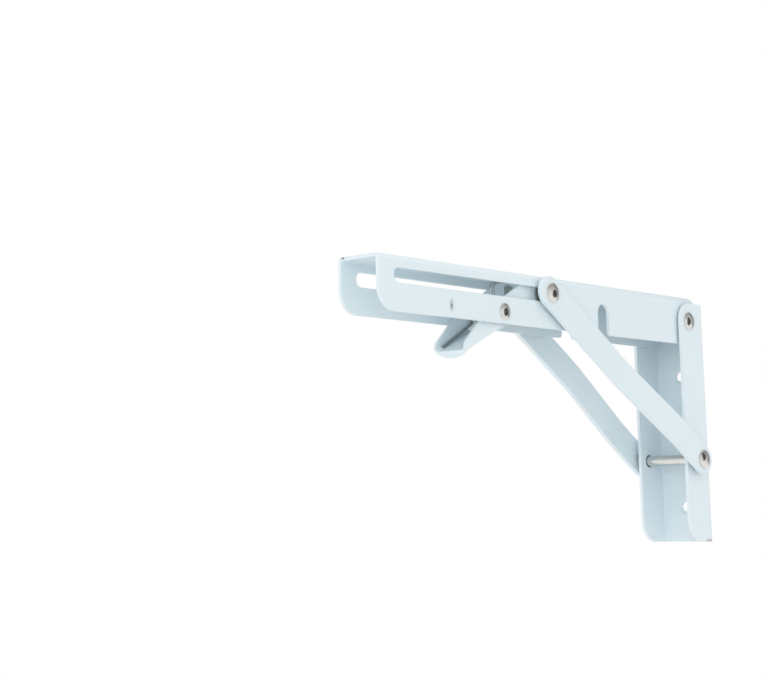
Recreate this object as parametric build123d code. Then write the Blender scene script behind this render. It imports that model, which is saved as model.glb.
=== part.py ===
from build123d import *
from math import acos, atan2, degrees, hypot, radians, sqrt
import os

# Folding shelf bracket, a wall leg, a shelf arm and two brace bars, shown locked open.
# Frame, in millimetres: the wall face is Y = 0 and the arm reaches towards -Y.
# +Z is up, with Z = 0 level with the fold pivot, and X = 0 is the centre plane.

# Sheet and fits
SHEET = 2.0  # folded steel sheet of the leg and the arm
BAR_T = 3.0  # flat bar of the two braces
BEND_R = 2.6  # outer radius of the folded corners
CORNER_R = 1.0  # small corners of the blanks
RUN_GAP = 0.05  # radial clearance of a bore that turns on a rivet
SIDE_GAP = 0.3  # sideways clearance beside a moving face

# Wall leg
FOLD_WASHER_T = 1.5  # washers between the arm and the leg
LEG_DEPTH = 25.5
LEG_ABOVE = 11.5  # above the fold pivot
LEG_BELOW = 136.0  # below the fold pivot
LEG_EAR_R = 11.0
LEG_FOOT_R = 14.5
SCREW_R = 3.0
SCREW_SINK_R = 4.7
WALL_SCREW_ABOVE_FOOT = 21.5
WALL_SCREW_SPACING = 81.5

# Shelf arm
ARM_REACH = 300.0  # from the wall face to the front end
ARM_WIDTH = 29.0
ARM_ABOVE = 15.5  # top face above the fold pivot
ARM_BELOW = 14.2  # lower edges below the fold pivot
ARM_NOSE_R = 12.5
ARM_REAR_R = 10.0
SHELF_SCREW_REAR = 70.0  # from the wall face
SHELF_SCREW_FRONT_MARGIN = 35.0

# Pivots
PIVOT_OUT = 16.5  # both leg pivots stand this far out from the wall
ROD_DROP = 86.0  # lower rivet below the fold pivot
RIVET_R = 3.25
HEAD_R = 5.5
HEAD_H = 2.6
HEAD_RIM = 0.25  # straight rim of a domed head, as a share of its height
ROD_HOLE_R = 3.9  # roomy hole of the lower rivet in the leg

# Slots, slide studs and notches of the arm
SLOT_H = 8.0
SLOT_ABOVE = 4.9  # slot centre above the fold pivot
SLOT_FRONT_MARGIN = 11.6
STUD_OUT = 159.5  # from the wall face to the studs, locked open
NOTCH_W = 11.0
NOTCH_TOP = 4.2
NOTCH_AHEAD = 0.9  # notch centre ahead of the folded lower rivet
NOTCH_MOUTH_R = 2.5

# Brace bars
BAR_W = 17.5
BAR_EYE_AHEAD = 1.6  # upper round end centred this far beyond its rivet
BRACE_WASHER_T = 3.35
STUD_WASHER_T = 1.9
WASHER_R = 6.5
BAR_FLAT = 30.0  # flat length at the leg end
BAR_SLOPE = 60.0  # length of the set between the two flats
STUD_HEAD_R = 7.0
STUD_HEAD_T = 0.6

# Release lever
LEVER_OUT = 197.0  # lever pivot from the wall face
LEVER_DROP = 7.5  # lever pivot below the fold pivot
LEVER_WASHER_T = 1.1  # washers between the lever and the arm
LEVER_T = 1.5
LEVER_RIVET_R = 2.5
LEVER_HEAD_R = 4.6
LEVER_HEAD_H = 1.7
LEVER_NOSE_CLEAR = 0.5  # nose below the underside of the arm's top
LEVER_NOSE_GAP = 4.0  # nose ahead of the stud
LEVER_NOSE_L = 6.0  # flat top of the nose
LEVER_NOSE_H = 13.5  # upright rear edge of the nose
LEVER_RAMP = (4.0, 9.0)  # foot of the nose's ramp, behind and above the lever pivot
LEVER_THROAT = (18.4, 6.3)  # upper edge of the cheeks, ahead of and below the lever pivot
LEVER_TIP = (32.0, 19.5)  # front corner of the cheeks, ahead of and below the lever pivot
LEVER_TOE = (30.0, 24.0)  # lowest corner of the cheeks, ahead of and below the lever pivot
LEVER_HEEL = (2.0, 10.4)  # lower edge of the cheeks, ahead of and below the lever pivot
LEVER_WEB_L = 31.0  # length of the web from the toe
LEVER_BEND_R = 3.0
LEVER_TIP_R = 4.0
LEVER_NOSE_R = 1.5
LEVER_LIP = 2.6  # the finger lip below the toe, in the middle

# Lever spring
WIRE_R = 0.8
COIL_R = 4.6
COIL_TURNS = 5  # turns of the coil, besides the last turn that moves with the lever
TURN_GAP = 0.15
CHEEK_GAP = 0.4  # between the last turn and the lever's cheek
SPRING_REST = 0.15  # where the end rests on the lever's web, as a share of its length

# Places worked out from the sizes above
STUD_UP = SLOT_ABOVE + SLOT_H / 2 - RIVET_R - RUN_GAP
FOLD_Y = -PIVOT_OUT
ROD_Z = -ROD_DROP
STUD_Y = -STUD_OUT
LEVER_Y = -LEVER_OUT
LEVER_Z = -LEVER_DROP
ARM_REAR_Y = FOLD_Y + ARM_BELOW
LEG_WIDTH = ARM_WIDTH + 2 * (FOLD_WASHER_T + SHEET)
LEVER_WIDTH = ARM_WIDTH - 2 * (LEVER_WASHER_T + SHEET)
ARM_HALF = ARM_WIDTH / 2
LEG_HALF = LEG_WIDTH / 2
LEVER_HALF = LEVER_WIDTH / 2
ARM_INSIDE = ARM_HALF - SHEET
LEG_INSIDE = LEG_HALF - SHEET
WIND_R = COIL_R - WIRE_R
WIND_PITCH = 2 * WIRE_R + TURN_GAP
SPRING_X = WIRE_R + CHEEK_GAP - (LEVER_HALF - LEVER_T)
BAR_INNER_ROD = LEG_HALF + BRACE_WASHER_T
BAR_INNER_STUD = ARM_HALF + STUD_WASHER_T + SIDE_GAP
BAR_LENGTH = hypot(STUD_Y - FOLD_Y, STUD_UP - ROD_Z)
FOLDED_STUD = ROD_DROP + sqrt(BAR_LENGTH**2 - STUD_UP**2)
STUD_START = STUD_OUT - PIVOT_OUT
BAR_START_ANGLE = degrees(atan2(STUD_START, STUD_UP + ROD_DROP))
BAR_END_ANGLE = 90 + degrees(atan2(FOLDED_STUD - ROD_DROP, STUD_UP))
SIDES = {"right": 1, "left": -1}


def side_slab(outline, x_from, x_to):
    """A YZ outline made solid between two X positions."""
    return extrude(Plane.YZ.offset(x_from) * outline, amount=x_to - x_from)


def round_bar(y, z, radius, x_from, x_to):
    """A round bar along X."""
    return side_slab(Pos(y, z) * Circle(radius), x_from, x_to)


def washer(y, z, outer, inner, x_from, x_to):
    """A flat washer on an axis along X."""
    return side_slab(Pos(y, z) * (Circle(outer) - Circle(inner)), x_from, x_to)


def domed_head(y, z, radius, height, x_face, direction):
    """A low domed rivet head that stands on a face."""
    cap = height * (1 - HEAD_RIM)
    ball = (radius**2 + cap**2) / (2 * cap)
    dome = extrude(Circle(radius), amount=height)
    dome &= Pos(0, 0, height - ball) * Sphere(ball)
    return Pos(x_face, y, z) * Rot(0, 90 * direction, 0) * dome


def rounded_outline(y_from, y_to, z_from, z_to, corners):
    """A YZ rectangle with its own radius at each corner, keyed front/rear and low/high."""
    outline = Pos((y_from + y_to) / 2, (z_from + z_to) / 2) * Rectangle(y_to - y_from, z_to - z_from)
    places = {
        "front_low": (y_from, z_from),
        "front_high": (y_from, z_to),
        "rear_low": (y_to, z_from),
        "rear_high": (y_to, z_to),
    }
    for name, radius in corners.items():
        corner = outline.vertices().sort_by_distance((*places[name], 0))[0]
        outline = fillet(corner, radius)
    return outline


def channel(width, y_from, y_to, z_from, z_to, open_side):
    """A folded channel block, open below or open in front, before its ends are shaped."""
    size = (width, y_to - y_from, z_to - z_from)
    centre = Pos(0, (y_from + y_to) / 2, (z_from + z_to) / 2)
    block = centre * Box(*size)
    hollow = centre * Box(width - 2 * SHEET, size[1], size[2])
    if open_side == "below":
        hollow = Pos(0, 0, -SHEET) * hollow
        axis, group = Axis.Y, Axis.Z
    else:
        hollow = Pos(0, -SHEET, 0) * hollow
        axis, group = Axis.Z, Axis.Y
    block = fillet(block.edges().filter_by(axis).group_by(group)[-1], BEND_R)
    hollow = fillet(hollow.edges().filter_by(axis).group_by(group)[-1], BEND_R - SHEET)
    return block - hollow


def screw_hole(radius, sink_radius):
    """A screw hole with a conical seat, along +Z from the seat's mouth at the origin."""
    sink = sink_radius - radius
    shank = Pos(0, 0, SHEET) * Cylinder(radius, 2 * SHEET)
    cone = Pos(0, 0, sink / 2) * Cone(sink_radius, radius, sink)
    return shank + cone


def make_wall_leg():
    """The channel on the wall, with rounded ears, rounded feet and two screw holes."""
    leg = channel(LEG_WIDTH, -LEG_DEPTH, 0, -LEG_BELOW, LEG_ABOVE, "front")
    outline = rounded_outline(
        -LEG_DEPTH, 0, -LEG_BELOW, LEG_ABOVE, {"front_high": LEG_EAR_R, "front_low": LEG_FOOT_R}
    )
    leg &= side_slab(outline, -LEG_HALF, LEG_HALF)
    leg -= round_bar(FOLD_Y, 0, RIVET_R, -LEG_HALF, LEG_HALF)
    leg -= round_bar(FOLD_Y, ROD_Z, ROD_HOLE_R, -LEG_HALF, LEG_HALF)
    for up in (0, WALL_SCREW_SPACING):
        place = Pos(0, -SHEET, -LEG_BELOW + WALL_SCREW_ABOVE_FOOT + up)
        leg -= place * Rot(-90, 0, 0) * screw_hole(SCREW_R, SCREW_SINK_R)
    return leg


def arm_outline():
    """The side of the arm, with the notches that clear the lower rivet when it is folded."""
    outline = rounded_outline(
        -ARM_REACH,
        ARM_REAR_Y,
        -ARM_BELOW,
        ARM_ABOVE,
        {
            "front_low": ARM_NOSE_R,
            "front_high": CORNER_R,
            "rear_low": ARM_BELOW - 0.01,
            "rear_high": ARM_REAR_R,
        },
    )
    notch_y = FOLD_Y - ROD_DROP - NOTCH_AHEAD
    notch_depth = 2 * (NOTCH_TOP + ARM_BELOW)
    notch = Pos(notch_y, -ARM_BELOW) * Rot(0, 0, 90) * SlotOverall(notch_depth, NOTCH_W)
    outline -= notch
    for edge_y in (notch_y - NOTCH_W / 2, notch_y + NOTCH_W / 2):
        corner = outline.vertices().sort_by_distance((edge_y, -ARM_BELOW, 0))[0]
        outline = fillet(corner, NOTCH_MOUTH_R)
    return outline


def make_shelf_arm():
    """The channel under the shelf, open below, with a long slot in each flange."""
    arm = channel(ARM_WIDTH, -ARM_REACH, ARM_REAR_Y, -ARM_BELOW, ARM_ABOVE, "below")
    arm &= side_slab(arm_outline(), -ARM_HALF, ARM_HALF)
    slot_front = -ARM_REACH + SLOT_FRONT_MARGIN
    slot_rear = STUD_Y + SLOT_H / 2
    slot = Pos((slot_front + slot_rear) / 2, SLOT_ABOVE) * SlotOverall(slot_rear - slot_front, SLOT_H)
    arm -= side_slab(slot, -ARM_HALF, ARM_HALF)
    arm -= round_bar(FOLD_Y, 0, RIVET_R + RUN_GAP, -ARM_HALF, ARM_HALF)
    arm -= round_bar(LEVER_Y, LEVER_Z, LEVER_RIVET_R, -ARM_HALF, ARM_HALF)
    for y in (-SHELF_SCREW_REAR, -ARM_REACH + SHELF_SCREW_FRONT_MARGIN):
        arm -= Pos(0, y, ARM_ABOVE - SHEET) * screw_hole(SCREW_R, SCREW_SINK_R)
    return arm


def make_fold_rivet():
    """The rivet through the leg's ears that the arm folds on."""
    rivet = round_bar(FOLD_Y, 0, RIVET_R, -LEG_HALF, LEG_HALF)
    for sign in SIDES.values():
        rivet += domed_head(FOLD_Y, 0, HEAD_R, HEAD_H, sign * LEG_HALF, sign)
    return rivet


def make_brace_rivet():
    """The long rivet across the leg that both brace bars swing on."""
    head_face = BAR_INNER_ROD + BAR_T + RUN_GAP
    rivet = round_bar(FOLD_Y, ROD_Z, RIVET_R, -head_face, head_face)
    for sign in SIDES.values():
        rivet += domed_head(FOLD_Y, ROD_Z, HEAD_R, HEAD_H, sign * head_face, sign)
    return rivet


def make_brace_bar(sign):
    """A flat bar with round ends, set inwards between the wide leg and the narrow arm."""
    along = Vector(0, STUD_Y - FOLD_Y, STUD_UP - ROD_Z)
    start = Vector(0, FOLD_Y, ROD_Z)
    face_plane = Plane(origin=start, x_dir=along, z_dir=(1, 0, 0))
    edge_plane = Plane(origin=start, x_dir=along, z_dir=face_plane.y_dir)
    outer = max(BAR_INNER_ROD, BAR_INNER_STUD) + BAR_T
    blank_length = BAR_LENGTH + BAR_EYE_AHEAD
    blank = Pos(blank_length / 2, 0) * SlotCenterToCenter(blank_length, BAR_W)
    bar = extrude(face_plane * blank, amount=outer + BAR_T)
    ends = (-BAR_W, blank_length + BAR_W)
    path = [
        (ends[0], BAR_INNER_ROD),
        (BAR_FLAT, BAR_INNER_ROD),
        (BAR_FLAT + BAR_SLOPE, BAR_INNER_STUD),
        (ends[1], BAR_INNER_STUD),
    ]
    inner_line = [(u, -x) for u, x in path]
    outer_line = [(u, -x - BAR_T) for u, x in reversed(path)]
    section = make_face(Polyline(*inner_line, *outer_line, close=True))
    bar &= extrude(edge_plane * section, amount=BAR_W, both=True)
    bar -= round_bar(FOLD_Y, ROD_Z, RIVET_R + RUN_GAP, 0, 2 * outer)
    bar -= round_bar(STUD_Y, STUD_UP, RIVET_R, 0, 2 * outer)
    return bar if sign > 0 else mirror(bar, about=Plane.YZ)


def make_slide_stud(sign):
    """A stud that rides in the arm's slot, with a thin flat head inside the arm."""
    head_end = ARM_INSIDE - STUD_HEAD_T
    stud_end = ARM_HALF + STUD_WASHER_T
    stud = round_bar(STUD_Y, STUD_UP, RIVET_R, ARM_INSIDE, stud_end)
    stud += round_bar(STUD_Y, STUD_UP, STUD_HEAD_R, head_end, ARM_INSIDE)
    return stud if sign > 0 else mirror(stud, about=Plane.YZ)


def make_eye_rivet(sign):
    """The domed end of the upper rivet, filling the bar's eye."""
    head_face = BAR_INNER_STUD + BAR_T
    rivet = round_bar(STUD_Y, STUD_UP, RIVET_R, BAR_INNER_STUD, head_face)
    rivet += domed_head(STUD_Y, STUD_UP, HEAD_R, HEAD_H, head_face, 1)
    return rivet if sign > 0 else mirror(rivet, about=Plane.YZ)


def lever_point(offset):
    """A place on the lever, from its offset ahead of and below the pivot."""
    return (LEVER_Y - offset[0], LEVER_Z - offset[1])


def lever_outline():
    """The side of the lever's cheeks, from the locking nose to the finger end."""
    nose_top = ARM_ABOVE - SHEET - LEVER_NOSE_CLEAR
    nose_rear = STUD_Y - RIVET_R - LEVER_NOSE_GAP
    nose_corner = (nose_rear, nose_top)
    tip = lever_point(LEVER_TIP)
    outline = make_face(
        Polyline(
            nose_corner,
            (nose_rear - LEVER_NOSE_L, nose_top),
            (LEVER_Y + LEVER_RAMP[0], LEVER_Z + LEVER_RAMP[1]),
            lever_point(LEVER_THROAT),
            tip,
            lever_point(LEVER_TOE),
            lever_point(LEVER_HEEL),
            (nose_rear, nose_top - LEVER_NOSE_H),
            close=True,
        )
    )
    for corner, radius in ((nose_corner, LEVER_NOSE_R), (tip, LEVER_TIP_R)):
        outline = fillet(outline.vertices().sort_by_distance((*corner, 0))[0], radius)
    return outline


def lever_web_plane():
    """The outer face of the lever's web, with X along it from the toe and Y into the lever."""
    toe = lever_point(LEVER_TOE)
    heel = lever_point(LEVER_HEEL)
    along = Vector(0, heel[0] - toe[0], heel[1] - toe[1])
    return Plane(origin=(0, *toe), x_dir=along, z_dir=(1, 0, 0))


def lever_channel(half_width, lift, bend_r):
    """A block above the web's face, with its two long lower edges rounded."""
    height = 3 * LEVER_WIDTH
    length = 2 * LEVER_WEB_L
    section = Pos(0, lift + height / 2) * Rectangle(2 * half_width, height)
    corners = section.vertices().group_by(Axis.Y)[0]
    section = fillet(corners, bend_r)
    web = lever_web_plane()
    across = Plane(origin=web.origin, x_dir=(1, 0, 0), z_dir=web.x_dir * -1)
    return extrude(across * section, amount=length, both=True)


def make_release_lever():
    """A folded lever, two cheeks joined by a web along the lower side, with a finger lip."""
    inside = LEVER_HALF - LEVER_T
    web = lever_web_plane()
    lever = side_slab(lever_outline(), -LEVER_HALF, LEVER_HALF)
    front = web * Pos(LEVER_WEB_L / 2 - LEVER_WIDTH, 0, 0) * Box(
        LEVER_WEB_L + 2 * LEVER_WIDTH, 6 * LEVER_WIDTH, LEVER_WIDTH
    )
    lever = (lever & front & lever_channel(LEVER_HALF, 0, LEVER_BEND_R)) + (lever - front)
    lever -= lever_channel(inside, LEVER_T, LEVER_BEND_R - LEVER_T)
    lever -= web * Pos(LEVER_WEB_L + 2 * LEVER_WIDTH, 0, 0) * Box(
        4 * LEVER_WIDTH, 6 * LEVER_WIDTH, 2 * inside
    )
    lever += make_finger_lip()
    lever -= round_bar(LEVER_Y, LEVER_Z, LEVER_RIVET_R + RUN_GAP, -LEVER_HALF, LEVER_HALF)
    return lever


def make_finger_lip():
    """The front end of the web, turned down into a lip with a curved lower edge."""
    toe_y, toe_z = lever_point(LEVER_TOE)
    corner = LEVER_BEND_R * (1 - sqrt(0.5))
    half_width = LEVER_HALF - corner
    top = toe_z + LEVER_T
    side = toe_z + corner
    edge = ThreePointArc((-half_width, side), (0, toe_z - LEVER_LIP), (half_width, side))
    rest = Polyline((half_width, side), (half_width, top), (-half_width, top), (-half_width, side))
    front = Plane(origin=(0, toe_y, 0), x_dir=(1, 0, 0), z_dir=(0, -1, 0))
    return extrude(front * make_face(edge + rest), amount=-LEVER_T)


def make_lever_rivet():
    """The rivet through the arm that the release lever turns on."""
    rivet = round_bar(LEVER_Y, LEVER_Z, LEVER_RIVET_R, -ARM_HALF, ARM_HALF)
    for sign in SIDES.values():
        rivet += domed_head(LEVER_Y, LEVER_Z, LEVER_HEAD_R, LEVER_HEAD_H, sign * ARM_HALF, sign)
    return rivet


def spring_winding(x_from, turns, start_angle):
    """Centre line of wire wound on the lever's rivet, towards +X from an angle above the rear."""
    axis = Plane(origin=(x_from, LEVER_Y, LEVER_Z), x_dir=(0, 1, 0), z_dir=(1, 0, 0))
    return axis * Rot(0, 0, start_angle) * Helix(WIND_PITCH, turns * WIND_PITCH, WIND_R)


def spring_wire(*stretches):
    """Round wire along a chain of lines and windings."""
    path = Wire([stretch.edges()[0] for stretch in stretches])
    profile = Plane(origin=path @ 0, z_dir=path % 0) * Circle(WIRE_R)
    return sweep(profile, path=path, is_frenet=True)


def make_lever_spring():
    """The coil on the lever's rivet, with the leg that stands against the arm's top."""
    coil = spring_winding(SPRING_X + 2 * WIND_PITCH, COIL_TURNS, 0)
    foot = coil @ 1
    return spring_wire(coil, Line(foot, (foot.X, foot.Y, ARM_ABOVE - SHEET)))


def make_lever_spring_end():
    """The last turn of the spring, with the leg that pushes down on the lever's web."""
    rest = lever_web_plane().from_local_coords((LEVER_WEB_L * SPRING_REST, LEVER_T + WIRE_R, 0))
    ahead = rest.Y - LEVER_Y
    up = rest.Z - LEVER_Z
    leave_angle = atan2(up, ahead) + acos(WIND_R / hypot(ahead, up))
    turn = spring_winding(SPRING_X, 1, degrees(leave_angle))
    return spring_wire(Line((SPRING_X, rest.Y, rest.Z), turn @ 0), turn)


parts = {
    "wall_leg": make_wall_leg(),
    "shelf_arm": make_shelf_arm(),
    "fold_rivet": make_fold_rivet(),
    "brace_rivet": make_brace_rivet(),
    "release_lever": make_release_lever(),
    "lever_rivet": make_lever_rivet(),
    "lever_spring": make_lever_spring(),
    "lever_spring_end": make_lever_spring_end(),
}
for side, sign in SIDES.items():
    near = {
        "fold_washer": (FOLD_Y, 0, RIVET_R, ARM_HALF, LEG_INSIDE),
        "brace_washer": (FOLD_Y, ROD_Z, RIVET_R, LEG_HALF, BAR_INNER_ROD),
        "stud_washer": (STUD_Y, STUD_UP, RIVET_R, ARM_HALF, ARM_HALF + STUD_WASHER_T),
        "lever_washer": (LEVER_Y, LEVER_Z, LEVER_RIVET_R, LEVER_HALF, ARM_INSIDE),
    }
    for name, (y, z, bore, x_from, x_to) in near.items():
        ends = sorted((sign * x_from, sign * x_to))
        outer = WASHER_R if bore == RIVET_R else LEVER_HEAD_R
        parts[f"{name}_{side}"] = washer(y, z, outer, bore, *ends)
    parts[f"brace_bar_{side}"] = make_brace_bar(sign)
    parts[f"slide_stud_{side}"] = make_slide_stud(sign)
    parts[f"eye_rivet_{side}"] = make_eye_rivet(sign)

os.makedirs("parts", exist_ok=True)
for name, shape in parts.items():
    export_step(shape, f"parts/{name}.step")

print("bar length", round(BAR_LENGTH, 3), "stud from pivot", STUD_START, round(FOLDED_STUD, 3))
print("bar angles from up", round(BAR_START_ANGLE, 4), round(BAR_END_ANGLE, 4))
print("brace ratio", round((BAR_END_ANGLE - BAR_START_ANGLE) / 90, 5))
print("slide ratio m per rad", round((FOLDED_STUD - STUD_START) / 1000 / radians(90), 6))
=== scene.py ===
import math

import bpy
from mathutils import Matrix, Vector

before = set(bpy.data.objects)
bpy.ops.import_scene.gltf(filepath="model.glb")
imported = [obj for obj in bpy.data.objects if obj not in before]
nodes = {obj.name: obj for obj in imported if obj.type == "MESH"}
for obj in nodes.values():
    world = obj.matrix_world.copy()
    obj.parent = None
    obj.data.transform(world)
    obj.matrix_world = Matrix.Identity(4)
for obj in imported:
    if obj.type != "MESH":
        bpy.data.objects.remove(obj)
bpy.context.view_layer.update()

# Wall leg: a channel folded from 2 mm sheet steel, pierced for two rivets and two screws.
# It is powder coated after folding, so a smooth skin with a faint orange peel runs over its
# rounded edges. The other painted pieces have the same coat.
COAT_COLOUR = (0.735, 0.836, 0.895, 1)
COAT_SHADE = (0.695, 0.790, 0.845, 1)
COAT_ROUGHNESS = 0.36
COAT_SHINE = 0.42
CLOUD_SCALE, SPECKLE_SCALE = 38, 2600
CLOUD_THINNING = (0.42, 0.72, 0, 0.22)
SPECKLE_THINNING = (0.62, 0.80, 0, 0.25)
CLOUD_UNEVENNESS = (0.3, 0.75, -0.04, 0.07)
PEEL_SCALE, FINE_PEEL_SCALE = 620, 1900
PEEL_SHARE = 0.8
PEEL_DEPTH = 0.000012
CHIP_EDGE_SCALE = 1500
CHIP_RAGGEDNESS = (0.3, 0.7, -0.45, 0.45)
CHIP_RIM = (0.75, 1.0, 1, 0)
CHIP_DEPTH = 6.0
COATED_EDGE = 0.0003
EDGE_ANGLE = math.radians(35)
FLAT_ANGLE = math.radians(0.2)
SAME_POINT = 0.000002


def new_group(name, inputs, outputs):
    group = bpy.data.node_groups.new(name, "ShaderNodeTree")
    for socket, kind, value in inputs:
        item = group.interface.new_socket(socket, in_out="INPUT", socket_type="NodeSocket" + kind)
        item.default_value = value
    for socket, kind in outputs:
        group.interface.new_socket(socket, in_out="OUTPUT", socket_type="NodeSocket" + kind)
    return group, group.nodes.new("NodeGroupInput"), group.nodes.new("NodeGroupOutput")


def math_node(tree, operation, first, second=0.0, clamp=False):
    node = tree.nodes.new("ShaderNodeMath")
    node.operation = operation
    node.use_clamp = clamp
    for socket, value in zip(node.inputs, (first, second)):
        if isinstance(value, (int, float)):
            socket.default_value = value
        else:
            tree.links.new(value, socket)
    return node.outputs[0]


def mix_colour(tree, factor, first, second):
    node = tree.nodes.new("ShaderNodeMix")
    node.data_type = "RGBA"
    for socket, value in ((node.inputs[0], factor), (node.inputs[6], first), (node.inputs[7], second)):
        if isinstance(value, (int, float, tuple)):
            socket.default_value = value
        else:
            tree.links.new(value, socket)
    return node.outputs[2]


def spread(tree, value, low, high, to_low, to_high):
    """A smooth ramp: to_low where value is at low, to_high where it is at high."""
    node = tree.nodes.new("ShaderNodeMapRange")
    node.interpolation_type = "SMOOTHSTEP"
    tree.links.new(value, node.inputs["Value"])
    for socket, number in zip(node.inputs[1:5], (low, high, to_low, to_high)):
        socket.default_value = number
    return node.outputs[0]


def noise(tree, vector, scale, detail=2.0, roughness=0.5):
    node = tree.nodes.new("ShaderNodeTexNoise")
    node.inputs["Scale"].default_value = scale
    node.inputs["Detail"].default_value = detail
    node.inputs["Roughness"].default_value = roughness
    tree.links.new(vector, node.inputs["Vector"])
    return node.outputs["Fac"]


coat_group, coat_in, coat_out = new_group(
    "Powder coat",
    [
        ("Place", "Vector", (0, 0, 0)),
        ("Coat", "Color", COAT_COLOUR),
        ("Thin coat", "Color", COAT_SHADE),
        ("Roughness", "Float", COAT_ROUGHNESS),
    ],
    [("Colour", "Color"), ("Roughness", "Float"), ("Peel", "Float")],
)
coat_place = coat_in.outputs["Place"]
cloudy = noise(coat_group, coat_place, CLOUD_SCALE, detail=3)
speckle = noise(coat_group, coat_place, SPECKLE_SCALE, detail=2)
peel = noise(coat_group, coat_place, PEEL_SCALE, detail=2, roughness=0.45)
fine_peel = noise(coat_group, coat_place, FINE_PEEL_SCALE, detail=1)
thin = math_node(
    coat_group,
    "ADD",
    spread(coat_group, cloudy, *CLOUD_THINNING),
    spread(coat_group, speckle, *SPECKLE_THINNING),
    clamp=True,
)
coat_colour = mix_colour(coat_group, thin, coat_in.outputs["Coat"], coat_in.outputs["Thin coat"])
coat_unevenness = spread(coat_group, cloudy, *CLOUD_UNEVENNESS)
coat_roughness = math_node(coat_group, "ADD", coat_in.outputs["Roughness"], coat_unevenness)
peel = math_node(coat_group, "MULTIPLY", peel, PEEL_SHARE)
fine_peel = math_node(coat_group, "MULTIPLY", fine_peel, 1 - PEEL_SHARE)
coat_group.links.new(coat_colour, coat_out.inputs["Colour"])
coat_group.links.new(coat_roughness, coat_out.inputs["Roughness"])
coat_group.links.new(math_node(coat_group, "ADD", peel, fine_peel), coat_out.inputs["Peel"])

# Paint chip: a ragged round mask for one spot, used for spots of wear and for a spot of painted shadow.
chip_and_shadow_group, chip_in, chip_out = new_group(
    "Paint chip",
    [("Place", "Vector", (0, 0, 0)), ("Centre", "Vector", (0, 0, 0)), ("Size", "Vector", (1, 1, 1))],
    [("Mask", "Float")],
)
chip_offset = chip_and_shadow_group.nodes.new("ShaderNodeVectorMath")
chip_offset.operation = "SUBTRACT"
chip_and_shadow_group.links.new(chip_in.outputs["Place"], chip_offset.inputs[0])
chip_and_shadow_group.links.new(chip_in.outputs["Centre"], chip_offset.inputs[1])
chip_scaled = chip_and_shadow_group.nodes.new("ShaderNodeVectorMath")
chip_scaled.operation = "DIVIDE"
chip_and_shadow_group.links.new(chip_offset.outputs[0], chip_scaled.inputs[0])
chip_and_shadow_group.links.new(chip_in.outputs["Size"], chip_scaled.inputs[1])
chip_reach = chip_and_shadow_group.nodes.new("ShaderNodeVectorMath")
chip_reach.operation = "LENGTH"
chip_and_shadow_group.links.new(chip_scaled.outputs[0], chip_reach.inputs[0])
chip_edge = noise(chip_and_shadow_group, chip_in.outputs["Place"], CHIP_EDGE_SCALE, detail=2)
chip_edge = spread(chip_and_shadow_group, chip_edge, *CHIP_RAGGEDNESS)
ragged = math_node(chip_and_shadow_group, "ADD", chip_reach.outputs["Value"], chip_edge)
chip_and_shadow_group.links.new(spread(chip_and_shadow_group, ragged, *CHIP_RIM), chip_out.inputs["Mask"])


def group_node(tree, group, **links):
    node = tree.nodes.new("ShaderNodeGroup")
    node.node_tree = group
    for name, value in links.items():
        socket = node.inputs[name.replace("_", " ")]
        if isinstance(value, (int, float, tuple)):
            socket.default_value = value
        else:
            tree.links.new(value, socket)
    return node


def new_material(name):
    material = bpy.data.materials.new(name)
    material.use_nodes = True
    tree = material.node_tree
    return material, tree, tree.nodes["Principled BSDF"]


def object_place(tree):
    return tree.nodes.new("ShaderNodeTexCoord").outputs["Object"]


def bump(tree, shader, height, distance):
    node = tree.nodes.new("ShaderNodeBump")
    node.inputs["Strength"].default_value = 1.0
    node.inputs["Distance"].default_value = distance
    tree.links.new(height, node.inputs["Height"])
    tree.links.new(node.outputs["Normal"], shader.inputs["Normal"])


def coated(name, chips_and_shadows=()):
    """The coat on one piece, with a list of spots given by centre, half sizes and colour: spots of wear,
    and spots of painted shadow.
    """
    material, tree, shader = new_material(name)
    place = object_place(tree)
    coat = group_node(tree, coat_group, Place=place)
    colour, height = coat.outputs["Colour"], coat.outputs["Peel"]
    # Spots of wear and spots of painted shadow are mixed in alike, each through its mask.
    for centre, size, wear_and_shadow_colour in chips_and_shadows:
        mask = group_node(tree, chip_and_shadow_group, Place=place, Centre=centre, Size=size).outputs["Mask"]
        colour = mix_colour(tree, mask, colour, wear_and_shadow_colour)
        height = math_node(tree, "SUBTRACT", height, math_node(tree, "MULTIPLY", mask, CHIP_DEPTH))
    tree.links.new(colour, shader.inputs["Base Color"])
    tree.links.new(coat.outputs["Roughness"], shader.inputs["Roughness"])
    shader.inputs["Specular IOR Level"].default_value = COAT_SHINE
    bump(tree, shader, height, PEEL_DEPTH)
    return material


def dress(node, material):
    nodes[node].data.materials.clear()
    nodes[node].data.materials.append(material)


def soften_edges(node, width=COATED_EDGE):
    """Rounds a sheet piece's sharp edges, as the blanking and the coat leave them."""
    piece = nodes[node]
    weld = piece.modifiers.new("Join faces", "WELD")
    weld.merge_threshold = SAME_POINT
    flat = piece.modifiers.new("Whole faces", "DECIMATE")
    flat.decimate_type = "DISSOLVE"
    flat.angle_limit = FLAT_ANGLE
    edge = piece.modifiers.new("Soft edge", "BEVEL")
    edge.width = width
    edge.segments = 2
    edge.limit_method = "ANGLE"
    edge.angle_limit = EDGE_ANGLE
    edge.harden_normals = True


LEG_SCUFF = ((0.0180, -0.0045, -0.1352), (0.0010, 0.0042, 0.0009), (0.52, 0.49, 0.45, 1))
dress("wall_leg", coated("leg_paint", [LEG_SCUFF]))
soften_edges("wall_leg")

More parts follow.
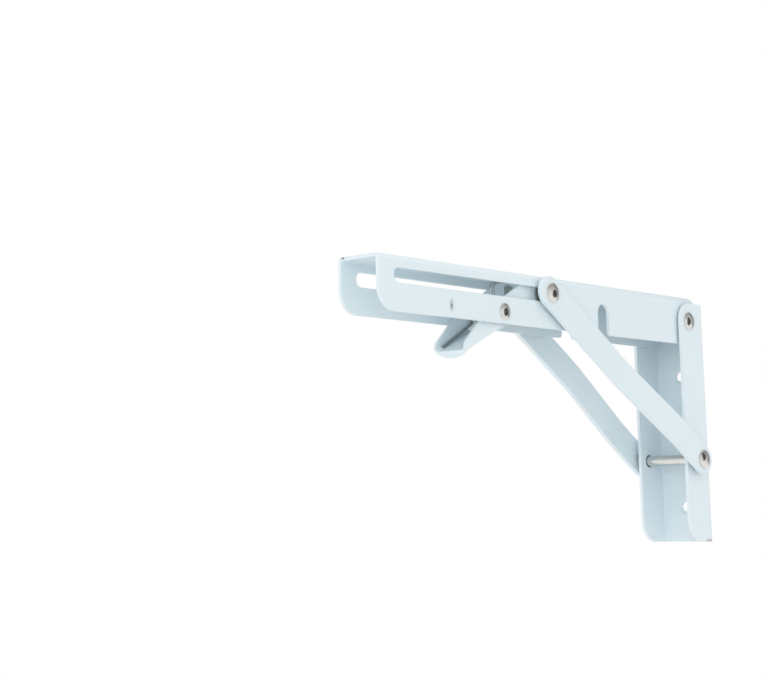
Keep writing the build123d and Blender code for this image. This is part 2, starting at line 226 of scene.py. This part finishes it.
# Shelf arm: a narrower channel of the same sheet, open below, with a slot and a notch pierced
# in each flange. It carries the one visible nick in the coat, low on the right flange. The dark
# spot at the front corner of the left bend is painted shadow, where the shelf board shades it.
NICK_RUB = ((0.0145, -0.2426, -0.0074), (0.0012, 0.0015, 0.0034), (0.50, 0.57, 0.61, 1))
FLANGE_NICK = ((0.0145, -0.2425, -0.0079), (0.0010, 0.0006, 0.0012), (0.17, 0.19, 0.21, 1))
# Painted shadow: a dark spot at the front corner of the left bend stands for the shelf board's shadow.
CORNER_SHADOW_SPOT = ((-0.0110, -0.2995, 0.0148), (0.0012, 0.0012, 0.0007), (0.13, 0.135, 0.14, 1))
dress("shelf_arm", coated("arm_paint", [NICK_RUB, FLANGE_NICK, CORNER_SHADOW_SPOT]))
soften_edges("shelf_arm")

# Brace bars: flat bars with round ends, pierced and set sideways in a press, then coated.
# The eye at the leg end turns on the long lower rivet.
bar_paint = coated("bar_paint")
for side in ("right", "left"):
    dress("brace_bar_" + side, bar_paint)
    soften_edges("brace_bar_" + side)

# Release lever: thinner sheet folded into a small channel, with a finger lip turned down at
# its front end and a nose that stands in the arm's slots.
LEVER_EDGE = 0.00022
dress("release_lever", coated("lever_paint"))
soften_edges("release_lever", LEVER_EDGE)

# Rivets: bright steel, headed cold, so the domes are smooth with faint marks of the tool.
# The long lower rivet shows its turned shank across the leg.
STEEL_COLOUR = (0.69, 0.685, 0.66, 1)
STEEL_TINT = (0.55, 0.53, 0.49, 1)
STEEL_ROUGHNESS = 0.13
TURNING = (9, 1, 1)
TURNING_SCALE, STAIN_SCALE = 420, 330
STAINING = (0.48, 0.75, 0, 0.5)
TOOL_UNEVENNESS = (0.3, 0.8, -0.03, 0.12)
RIVET_MARKS = 0.000006
steel_group, steel_in, steel_out = new_group(
    "Worked steel",
    [
        ("Place", "Vector", (0, 0, 0)),
        ("Steel", "Color", STEEL_COLOUR),
        ("Tint", "Color", STEEL_TINT),
        ("Roughness", "Float", STEEL_ROUGHNESS),
    ],
    [("Colour", "Color"), ("Roughness", "Float"), ("Marks", "Float")],
)
steel_stretch = steel_group.nodes.new("ShaderNodeVectorMath")
steel_stretch.operation = "MULTIPLY"
steel_stretch.inputs[1].default_value = TURNING
steel_group.links.new(steel_in.outputs["Place"], steel_stretch.inputs[0])
turned = noise(steel_group, steel_stretch.outputs[0], TURNING_SCALE, detail=4, roughness=0.6)
stained = noise(steel_group, steel_in.outputs["Place"], STAIN_SCALE, detail=3)
stained = spread(steel_group, stained, *STAINING)
steel_colour = mix_colour(steel_group, stained, steel_in.outputs["Steel"], steel_in.outputs["Tint"])
tool_roughness = spread(steel_group, turned, *TOOL_UNEVENNESS)
steel_roughness = math_node(steel_group, "ADD", steel_in.outputs["Roughness"], tool_roughness)
steel_group.links.new(steel_colour, steel_out.inputs["Colour"])
steel_group.links.new(steel_roughness, steel_out.inputs["Roughness"])
steel_group.links.new(turned, steel_out.inputs["Marks"])


def worked_steel(name, steel, tint, roughness, mark_depth, metallic=1.0):
    material, tree, shader = new_material(name)
    place = object_place(tree)
    surface = group_node(tree, steel_group, Place=place, Steel=steel, Tint=tint, Roughness=roughness)
    tree.links.new(surface.outputs["Colour"], shader.inputs["Base Color"])
    tree.links.new(surface.outputs["Roughness"], shader.inputs["Roughness"])
    shader.inputs["Metallic"].default_value = metallic
    bump(tree, shader, surface.outputs["Marks"], mark_depth)
    return material


rivet_steel = worked_steel("rivet_steel", STEEL_COLOUR, STEEL_TINT, STEEL_ROUGHNESS, RIVET_MARKS)
for node in ("fold_rivet", "brace_rivet", "lever_rivet", "eye_rivet_right", "eye_rivet_left"):
    dress(node, rivet_steel)

# Slide studs: the part of the upper rivet that rides in each slot, of duller steel than the
# domed ends, with a thin flat head inside the arm. Their steel is darkened further as painted
# shade, to the dark of the shade inside the slot.
STUD_SHADED_COLOUR = (0.36, 0.385, 0.37, 1)
STUD_SHADED_TINT = (0.25, 0.27, 0.26, 1)
STUD_ROUGHNESS = 0.5
STUD_MARKS = 0.00001
STUD_METALLIC = 0.3
shaded_stud_steel = worked_steel("shaded_stud_steel", STUD_SHADED_COLOUR, STUD_SHADED_TINT, STUD_ROUGHNESS, STUD_MARKS, STUD_METALLIC)
for side in ("right", "left"):
    dress("slide_stud_" + side, shaded_stud_steel)

# Washers: stamped from sheet and zinc plated, between the leg, the bars, the arm and the lever
# where they turn on each other.
WASHER_COLOUR = (0.50, 0.51, 0.50, 1)
WASHER_TINT = (0.34, 0.34, 0.33, 1)
WASHER_ROUGHNESS = 0.52
WASHER_MARKS = 0.00001
washer_steel = worked_steel("washer_steel", WASHER_COLOUR, WASHER_TINT, WASHER_ROUGHNESS, WASHER_MARKS)
for place_name in ("fold", "brace", "stud", "lever"):
    for side in ("right", "left"):
        dress(f"{place_name}_washer_{side}", washer_steel)

# Lever spring: drawn steel wire wound round the lever's rivet, with one leg against the arm
# and one on the lever. Its grey-green is painted shade, matched to the shade around it, so
# the leg along the lever's web reads as the dark shadow line there.
SPRING_SHADE_COLOUR = (0.40, 0.44, 0.44, 1)
SPRING_SHADE_TINT = (0.28, 0.31, 0.31, 1)
SPRING_ROUGHNESS = 0.48
WIRE_MARKS = 0.000008
spring_steel = worked_steel("spring_steel", SPRING_SHADE_COLOUR, SPRING_SHADE_TINT, SPRING_ROUGHNESS, WIRE_MARKS)
for node in ("lever_spring", "lever_spring_end"):
    dress(node, spring_steel)

# Floor and room: a pale floor below the bracket, and a white room that lights it. Reflections
# show the room dimmer above and behind.
FLOOR_Z = -0.75
ROOM_LIGHT = 1.0
ROOM_TINT = (1, 0.995, 0.968, 1)
FLOOR_GLOW = 0.20
FLOOR_SIZE = 6
FLOOR_COLOUR = (0.86, 0.86, 0.86, 1)
FLOOR_ROUGHNESS = 0.9
WHITE = (1, 1, 1, 1)
DIM_ABOVE = (0.05, 0.75, 1.0, 0.5)
DIM_BEHIND = (0.45, 0.95, 1.0, 0.45)
bpy.ops.mesh.primitive_plane_add(size=FLOOR_SIZE, location=(0, 0, FLOOR_Z))
floor = bpy.context.object
floor.name = "studio_floor"
floor_material, floor_tree, floor_shader = new_material("pale_floor")
floor_shader.inputs["Base Color"].default_value = FLOOR_COLOUR
floor_shader.inputs["Roughness"].default_value = FLOOR_ROUGHNESS
floor_path = floor_tree.nodes.new("ShaderNodeLightPath")
floor_glow = floor_tree.nodes.new("ShaderNodeEmission")
floor_glow.inputs["Color"].default_value = WHITE
floor_seen = floor_path.outputs["Is Camera Ray"]
for ray in ("Is Glossy Ray", "Is Transmission Ray"):
    floor_seen = math_node(floor_tree, "MAXIMUM", floor_seen, floor_path.outputs[ray])
floor_strength = math_node(floor_tree, "MULTIPLY", floor_seen, FLOOR_GLOW)
floor_tree.links.new(floor_strength, floor_glow.inputs["Strength"])
floor_sum = floor_tree.nodes.new("ShaderNodeAddShader")
floor_tree.links.new(floor_shader.outputs[0], floor_sum.inputs[0])
floor_tree.links.new(floor_glow.outputs[0], floor_sum.inputs[1])
floor_tree.links.new(floor_sum.outputs[0], floor_tree.nodes["Material Output"].inputs["Surface"])
floor.data.materials.append(floor_material)

world = bpy.data.worlds.new("white_room")
bpy.context.scene.world = world
world.use_nodes = True
room = world.node_tree
background = room.nodes["Background"]
room_path = room.nodes.new("ShaderNodeLightPath")
room_axes = room.nodes.new("ShaderNodeSeparateXYZ")
room.links.new(room.nodes.new("ShaderNodeTexCoord").outputs["Generated"], room_axes.inputs[0])
dim_above = spread(room, room_axes.outputs["Z"], *DIM_ABOVE)
dim_behind = spread(room, room_axes.outputs["Y"], *DIM_BEHIND)
reflected = math_node(room, "MULTIPLY", dim_above, dim_behind)
glossy = room_path.outputs["Is Glossy Ray"]
through = room_path.outputs["Is Transmission Ray"]
white_seen = math_node(room, "MAXIMUM", room_path.outputs["Is Camera Ray"], through)
lit = math_node(room, "SUBTRACT", 1.0, white_seen)
lit = math_node(room, "SUBTRACT", lit, glossy, clamp=True)
strength = math_node(room, "ADD", white_seen, math_node(room, "MULTIPLY", lit, ROOM_LIGHT))
strength = math_node(room, "ADD", strength, math_node(room, "MULTIPLY", glossy, reflected))
room.links.new(mix_colour(room, lit, WHITE, ROOM_TINT), background.inputs["Color"])
room.links.new(strength, background.inputs["Strength"])

# Dark card: an oval card beside the bracket that shows only in reflections. It gives the
# domed rivet heads their dark middles.
CARD_PLACE = (0.36, 0.04, 0.01)
CARD_SIZE = (0.42, 0.30)
CARD_TURN = math.radians(165)
CARD_COLOUR = (0.01, 0.01, 0.01, 1)
upright = (math.radians(90), 0, CARD_TURN)
bpy.ops.mesh.primitive_circle_add(radius=0.5, fill_type="NGON", location=CARD_PLACE, rotation=upright)
card = bpy.context.object
card.name = "dark_card"
card.scale = (*CARD_SIZE, 1)
card.visible_camera = card.visible_diffuse = card.visible_shadow = False
card_material, _, card_shader = new_material("dark_card")
card_shader.inputs["Base Color"].default_value = CARD_COLOUR
card.data.materials.append(card_material)

# Front softbox: one large lamp behind the camera and a little above it, for the soft light on
# the near faces.
LAMP_PLACE = Vector((1.5, -2.4, 0.2))
LAMP_TARGET = Vector((0, -0.12, -0.05))
LAMP_SIZE = (2.0, 1.8)
LAMP_POWER = 11
light = bpy.data.lights.new("front_softbox", "AREA")
light.shape = "RECTANGLE"
light.size, light.size_y = LAMP_SIZE
light.energy = LAMP_POWER
lamp = bpy.data.objects.new("front_softbox", light)
lamp.location = LAMP_PLACE
lamp.rotation_mode = "QUATERNION"
lamp.rotation_quaternion = (LAMP_TARGET - LAMP_PLACE).to_track_quat("-Z", "Y")
bpy.context.scene.collection.objects.link(lamp)

# Camera: its place, turn, focal length and axis pixel are fitted together, so that the
# bracket's edges fall where the photograph has them.
CAMERA_PLACE = Vector((0.61336, -0.94717, -0.11920))
CAMERA_TURN = math.radians(42.827)
CAMERA_RISE = math.radians(11.535)
CAMERA_ROLL = math.radians(-0.713)
FRAME_WIDTH, FRAME_HEIGHT = 764, 680
FOCAL_PIXELS = 1726.96
AXIS_PIXEL = (375.91, 165.67)
SENSOR_WIDTH = 36
NEAR_CLIP = 0.01
level_right = Vector((math.cos(CAMERA_TURN), math.sin(CAMERA_TURN), 0))
level_forward = Vector((-math.sin(CAMERA_TURN), math.cos(CAMERA_TURN), 0))
forward = math.cos(CAMERA_RISE) * level_forward + Vector((0, 0, math.sin(CAMERA_RISE)))
level_up = level_right.cross(forward)
right = math.cos(CAMERA_ROLL) * level_right + math.sin(CAMERA_ROLL) * level_up
up = math.cos(CAMERA_ROLL) * level_up - math.sin(CAMERA_ROLL) * level_right
camera_data = bpy.data.cameras.new("camera")
camera = bpy.data.objects.new("camera", camera_data)
camera_axes = Matrix((right, up, -forward)).transposed().to_4x4()
camera.matrix_world = Matrix.Translation(CAMERA_PLACE) @ camera_axes
camera_data.sensor_width = SENSOR_WIDTH
camera_data.sensor_fit = "HORIZONTAL"
camera_data.lens = FOCAL_PIXELS / FRAME_WIDTH * SENSOR_WIDTH
camera_data.shift_x = (FRAME_WIDTH / 2 - AXIS_PIXEL[0]) / FRAME_WIDTH
camera_data.shift_y = -(FRAME_HEIGHT / 2 - AXIS_PIXEL[1]) / FRAME_WIDTH
camera_data.clip_start = NEAR_CLIP
bpy.context.scene.collection.objects.link(camera)
bpy.context.scene.camera = camera
bpy.context.scene.view_settings.view_transform = "Standard"
